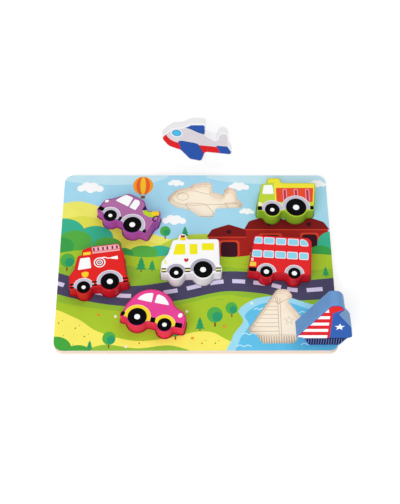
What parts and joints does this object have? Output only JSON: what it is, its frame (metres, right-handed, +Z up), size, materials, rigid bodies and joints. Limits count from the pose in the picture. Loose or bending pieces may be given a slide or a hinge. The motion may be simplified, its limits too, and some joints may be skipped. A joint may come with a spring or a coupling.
{
  "type": "chunky wooden vehicle puzzle",
  "caption": "Wooden inset puzzle: a flat board with shaped recesses, and thick painted vehicles that lift out of them.",
  "frame": {"origin": "middle of the board's underside, on the floor", "axes": "+Z up, +X to the right along the board's width, -Y towards the board's front edge"},
  "size_m": [0.312, 0.2847, 0.0757],
  "materials": {
    "plywood": "sanded bare plywood",
    "picture_print": "satin print",
    "purple_paint": "satin water-based paint on wood",
    "lime_paint": "satin water-based paint on wood",
    "fire_red_paint": "satin water-based paint on wood",
    "white_paint": "satin water-based paint on wood",
    "bus_red_paint": "satin water-based paint on wood",
    "pink_paint": "satin water-based paint on wood",
    "airplane_white_paint": "satin water-based paint on wood",
    "blue_paint": "satin water-based paint on wood",
    "face_ink": "satin screen-printed ink"
  },
  "bodies": {
    "board": {"backing_panel": "plywood", "frame_panel": "plywood", "printed_picture": "picture_print"},
    "pickup": {"pickup_block": "purple_paint", "pickup_print": "face_ink"},
    "dump_truck": {"dump_truck_block": "lime_paint", "dump_truck_print": "face_ink"},
    "fire_engine": {"fire_engine_block": "fire_red_paint", "fire_engine_print": "face_ink"},
    "ambulance": {"ambulance_block": "white_paint", "ambulance_print": "face_ink"},
    "bus": {"bus_block": "bus_red_paint", "bus_print": "face_ink"},
    "car": {"car_block": "pink_paint", "car_print": "face_ink"},
    "airplane": {"airplane_block": "airplane_white_paint", "airplane_print": "face_ink"},
    "sailboat": {"sailboat_block": "blue_paint", "sailboat_print": "face_ink"}
  },
  "joints": [
    {"name": "pickup_lift", "type": "slide", "parent": "board", "child": "pickup", "axis": [0, 0, 1], "range_m": [0, 0.04]},
    {"name": "dump_truck_lift", "type": "slide", "parent": "board", "child": "dump_truck", "axis": [0, 0, 1], "range_m": [0, 0.04]},
    {"name": "fire_engine_lift", "type": "slide", "parent": "board", "child": "fire_engine", "axis": [0, 0, 1], "range_m": [0, 0.04]},
    {"name": "ambulance_lift", "type": "slide", "parent": "board", "child": "ambulance", "axis": [0, 0, 1], "range_m": [0, 0.04]},
    {"name": "bus_lift", "type": "slide", "parent": "board", "child": "bus", "axis": [0, 0, 1], "range_m": [0, 0.04]},
    {"name": "car_lift", "type": "slide", "parent": "board", "child": "car", "axis": [0, 0, 1], "range_m": [0, 0.04]},
    {"name": "airplane_lift", "type": "slide", "parent": "board", "child": "airplane", "axis": [0, 0, 1], "range_m": [0, 0.04]},
    {"name": "sailboat_lift", "type": "slide", "parent": "board", "child": "sailboat", "axis": [0, 0, 1], "range_m": [0, 0.04]}
  ]
}
